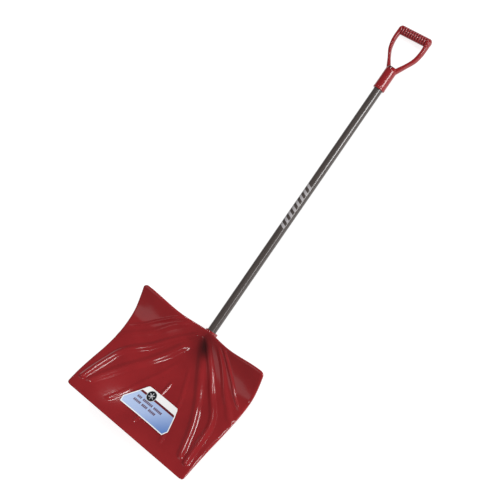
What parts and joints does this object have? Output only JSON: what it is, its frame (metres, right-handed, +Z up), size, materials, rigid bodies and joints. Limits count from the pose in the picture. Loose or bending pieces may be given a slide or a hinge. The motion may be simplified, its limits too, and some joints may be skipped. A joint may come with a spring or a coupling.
{
  "type": "snow shovel",
  "caption": "Snow shovel lying on its back: wide ribbed plastic blade curved into a scoop, straight steel tube shaft and a ribbed plastic D-grip for pushing and lifting snow.",
  "frame": {"origin": "on the surface that the shovel lies on, under the middle of its bounding box", "axes": "+Y along the shaft from the blade to the grip, +Z up out of the face of the blade, +X across the blade"},
  "size_m": [0.455, 1.332, 0.1203],
  "materials": {
    "red_plastic": "glossy injection-moulded plastic, dark red",
    "shaft_paint": "glossy dark grey paint on steel tube",
    "label_film": "printed film label, white and pale blue with a dark red band",
    "screw_steel": "zinc-plated steel"
  },
  "bodies": {
    "root": {"blade": "red_plastic", "shaft": "shaft_paint", "d_grip": "red_plastic", "blade_label": "label_film", "blade_screw": "screw_steel", "grip_screw": "screw_steel"}
  },
  "joints": []
}
